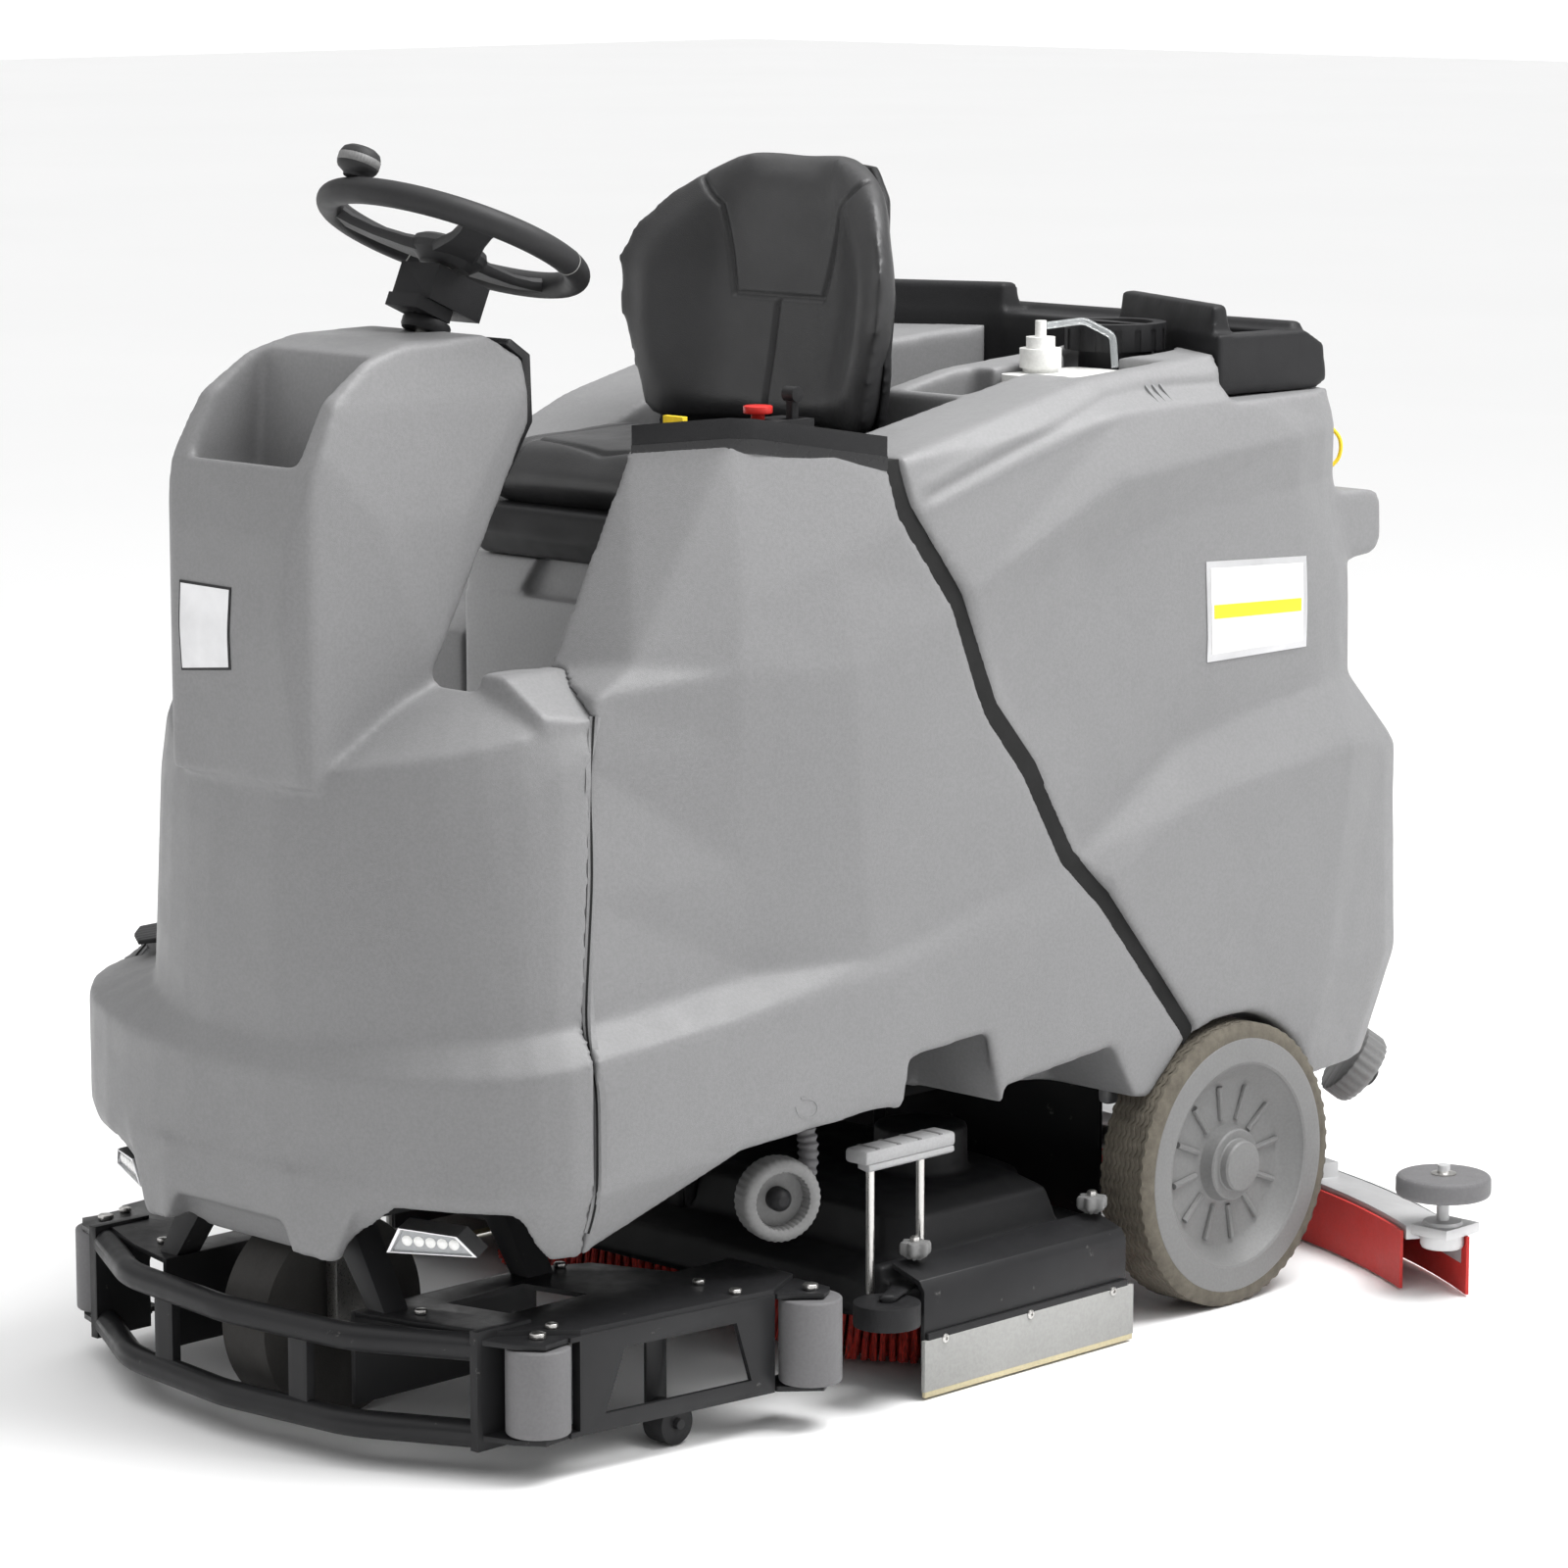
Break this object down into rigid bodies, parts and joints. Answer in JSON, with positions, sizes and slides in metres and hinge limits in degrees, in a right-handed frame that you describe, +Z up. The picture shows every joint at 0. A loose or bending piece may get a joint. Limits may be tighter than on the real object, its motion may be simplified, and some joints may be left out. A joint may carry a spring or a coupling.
{
  "type": "ride-on scrubber",
  "caption": "Ride-on floor scrubber with a steered front wheel, seat, moulded tanks, roller bumper, rotating brush deck and rear squeegee.",
  "frame": {"origin": "on the floor, under the middle of the machine's bounding box", "axes": "+Z up, the front of the machine faces -Y, the machine's left side is +X"},
  "size_m": [1.34, 1.7169, 1.4695],
  "materials": {
    "body_grey": "fine moulded grain, satin",
    "bracket_grey": "satin",
    "black_plastic": "fine grain",
    "black_panel": "semi-gloss",
    "leatherette": "soft sheen",
    "frame_black": "satin powder coat",
    "wheel_grip": "soft touch",
    "tread": "worn tread",
    "rim_grey": "satin",
    "roller_grey": "smooth",
    "drive_tread": "worn",
    "bristle_red": "bristles",
    "blade_red": "smooth",
    "skirt_grey": "smooth",
    "silver_cast": "painted casting",
    "steel": "zinc plated",
    "lamp": "clear lens",
    "white_plastic": "natural white",
    "clear_tube": "clear vinyl",
    "yellow": "smooth",
    "red": "smooth",
    "mat_rubber": "ribbed",
    "battery": "moulded cases"
  },
  "bodies": {
    "machine": {"front_cowl": "body_grey", "left_side_panel": "body_grey", "right_side_panel": "body_grey", "tank_body": "body_grey", "service_cover": "black_plastic", "detergent_canister": "white_plastic", "dosing_tube": "clear_tube", "drain_hose": "black_plastic", "service_caps": "rim_grey", "filter_hose": "rim_grey", "suction_hose": "black_plastic", "seat_pedestal": "bracket_grey", "battery_pack": "battery", "column_head": "black_plastic", "instrument_panel": "black_panel", "control_tray": "black_plastic", "floor_mat": "mat_rubber", "headlamps": "lamp", "chassis_frame": "frame_black", "rear_axle": "steel", "bumper_frame": "frame_black", "bumper_bolts": "steel"},
    "steering": {"steering_wheel": "wheel_grip", "steering_shaft": "steel"},
    "steering_grip": {"steering_knob": "wheel_grip"},
    "drive": {"drive_unit": "steel"},
    "front_wheel": {"drive_wheel": "drive_tread"},
    "rear_wheel_left": {"rear_tyre_left": "tread", "rear_rim_left": "rim_grey"},
    "rear_wheel_right": {"rear_tyre_right": "tread", "rear_rim_right": "rim_grey"},
    "seat": {"seat_cushion": "leatherette", "backrest_cushion": "leatherette", "seat_shell": "black_plastic"},
    "lid": {"tank_lid": "black_plastic"},
    "filler": {"filler_cap": "black_plastic"},
    "key": {"key_switch": "yellow"},
    "stop": {"stop_button": "red"},
    "lever": {"drive_lever": "black_plastic"},
    "rocker": {"rocker_switch": "black_panel"},
    "pedal": {"accelerator_pedal": "black_plastic"},
    "deck": {"deck_cover": "black_plastic", "deck_skirts": "skirt_grey", "star_knobs": "rim_grey"},
    "brush_left": {"brush_left": "bristle_red"},
    "brush_right": {"brush_right": "bristle_red"},
    "deflector_left": {"deflector_roller_left": "black_plastic"},
    "deflector_right": {"deflector_roller_right": "black_plastic"},
    "handle": {"deck_handle": "bracket_grey"},
    "roller_front_left": {"bumper_roller_front_left": "roller_grey"},
    "roller_front_right": {"bumper_roller_front_right": "roller_grey"},
    "roller_side_left": {"bumper_roller_side_left": "roller_grey"},
    "roller_side_right": {"bumper_roller_side_right": "roller_grey"},
    "caster_left": {"caster_wheel_left": "black_plastic"},
    "caster_right": {"caster_wheel_right": "black_plastic"},
    "squeegee_lift": {"squeegee_arm": "silver_cast"},
    "squeegee": {"squeegee_beam": "silver_cast", "squeegee_blades": "blade_red"},
    "squeegee_roller_left": {"squeegee_roller_left": "roller_grey"},
    "squeegee_roller_right": {"squeegee_roller_right": "roller_grey"}
  },
  "joints": [
    {"name": "steering_turn", "type": "hinge", "parent": "machine", "child": "steering", "pos_m": [0, -0.48, 1.355], "axis": [0, 0.4067, 0.9135], "range_deg": [-160, 160]},
    {"name": "knob_spin", "type": "hinge", "parent": "steering", "child": "steering_grip", "pos_m": [-0.02596, -0.608, 1.4294], "axis": [0, 0.4067, 0.9135], "continuous": true},
    {"name": "drive_steer", "type": "hinge", "parent": "machine", "child": "drive", "pos_m": [0, -0.702, 0.3], "axis": [0, 0, 1], "range_deg": [-80, 80]},
    {"name": "drive_roll", "type": "hinge", "parent": "drive", "child": "front_wheel", "pos_m": [0, -0.702, 0.12], "axis": [1, 0, 0], "continuous": true},
    {"name": "rear_roll_left", "type": "hinge", "parent": "machine", "child": "rear_wheel_left", "pos_m": [0.42, 0.408, 0.18], "axis": [1, 0, 0], "continuous": true},
    {"name": "rear_roll_right", "type": "hinge", "parent": "machine", "child": "rear_wheel_right", "pos_m": [-0.42, 0.408, 0.18], "axis": [1, 0, 0], "continuous": true},
    {"name": "seat_slide", "type": "slide", "parent": "machine", "child": "seat", "axis": [0, 1, 0], "range_m": [-0.06, 0]},
    {"name": "lid_hinge", "type": "hinge", "parent": "machine", "child": "lid", "pos_m": [0, 0.676, 1.141], "axis": [-1, 0, 0], "range_deg": [0, 70]},
    {"name": "filler_turn", "type": "hinge", "parent": "machine", "child": "filler", "pos_m": [0.205, 0.45, 1.184], "axis": [0, 0, 1], "continuous": true},
    {"name": "key_turn", "type": "hinge", "parent": "machine", "child": "key", "pos_m": [0.262, -0.378, 1.15], "axis": [0, 0, 1], "range_deg": [0, 90]},
    {"name": "stop_press", "type": "slide", "parent": "machine", "child": "stop", "axis": [0, 0, -1], "range_m": [0, 0.005], "stiffness_N_per_m": 400, "springref_m": -0.004},
    {"name": "lever_tilt", "type": "hinge", "parent": "machine", "child": "lever", "pos_m": [0.318, -0.244, 1.137], "axis": [1, 0, 0], "range_deg": [-15, 15]},
    {"name": "rocker_tip", "type": "hinge", "parent": "machine", "child": "rocker", "pos_m": [0.35, -0.19, 1.124], "axis": [1, 0, 0], "range_deg": [-6, 6]},
    {"name": "pedal_press", "type": "hinge", "parent": "machine", "child": "pedal", "pos_m": [-0.078, -0.556, 0.521], "axis": [1, 0, 0], "range_deg": [0, 15], "stiffness_Nm_per_rad": 0.6, "springref_deg": -20.05},
    {"name": "deck_lift", "type": "slide", "parent": "machine", "child": "deck", "axis": [0, 0, 1], "range_m": [0, 0.045]},
    {"name": "brush_spin_left", "type": "hinge", "parent": "deck", "child": "brush_left", "pos_m": [0.232, 0.07, 0.06], "axis": [0, 0, 1], "continuous": true},
    {"name": "brush_spin_right", "type": "hinge", "parent": "deck", "child": "brush_right", "pos_m": [-0.232, 0.07, 0.06], "axis": [0, 0, 1], "continuous": true},
    {"name": "deflector_spin_left", "type": "hinge", "parent": "deck", "child": "deflector_left", "pos_m": [0.455, -0.225, 0.11], "axis": [0, 0, 1], "continuous": true},
    {"name": "deflector_spin_right", "type": "hinge", "parent": "deck", "child": "deflector_right", "pos_m": [-0.455, -0.225, 0.11], "axis": [0, 0, 1], "continuous": true},
    {"name": "handle_pull", "type": "slide", "parent": "deck", "child": "handle", "axis": [0, 0, 1], "range_m": [0, 0.02]},
    {"name": "bumper_spin_front_left", "type": "hinge", "parent": "machine", "child": "roller_front_left", "pos_m": [0.385, -0.716, 0.104], "axis": [0, 0, 1], "continuous": true},
    {"name": "bumper_spin_front_right", "type": "hinge", "parent": "machine", "child": "roller_front_right", "pos_m": [-0.385, -0.716, 0.104], "axis": [0, 0, 1], "continuous": true},
    {"name": "bumper_spin_side_left", "type": "hinge", "parent": "machine", "child": "roller_side_left", "pos_m": [0.452, -0.35, 0.104], "axis": [0, 0, 1], "continuous": true},
    {"name": "bumper_spin_side_right", "type": "hinge", "parent": "machine", "child": "roller_side_right", "pos_m": [-0.452, -0.35, 0.104], "axis": [0, 0, 1], "continuous": true},
    {"name": "caster_roll_left", "type": "hinge", "parent": "machine", "child": "caster_left", "pos_m": [0.386, -0.516, 0.026], "axis": [1, 0, 0], "continuous": true},
    {"name": "caster_roll_right", "type": "hinge", "parent": "machine", "child": "caster_right", "pos_m": [-0.386, -0.516, 0.026], "axis": [1, 0, 0], "continuous": true},
    {"name": "squeegee_raise", "type": "hinge", "parent": "machine", "child": "squeegee_lift", "pos_m": [0, 0.48, 0.24], "axis": [1, 0, 0], "range_deg": [0, 8]},
    {"name": "squeegee_swing", "type": "hinge", "parent": "squeegee_lift", "child": "squeegee", "pos_m": [0, 0.79, 0.09], "axis": [0, 0, 1], "range_deg": [-8, 8]},
    {"name": "squeegee_roller_spin_left", "type": "hinge", "parent": "squeegee", "child": "squeegee_roller_left", "pos_m": [0.61, 0.631, 0.142], "axis": [0, 0, 1], "continuous": true},
    {"name": "squeegee_roller_spin_right", "type": "hinge", "parent": "squeegee", "child": "squeegee_roller_right", "pos_m": [-0.61, 0.631, 0.142], "axis": [0, 0, 1], "continuous": true}
  ],
  "couplings": [
    {"joint": "steering_turn", "follows": "drive_steer", "ratio": 2}
  ]
}
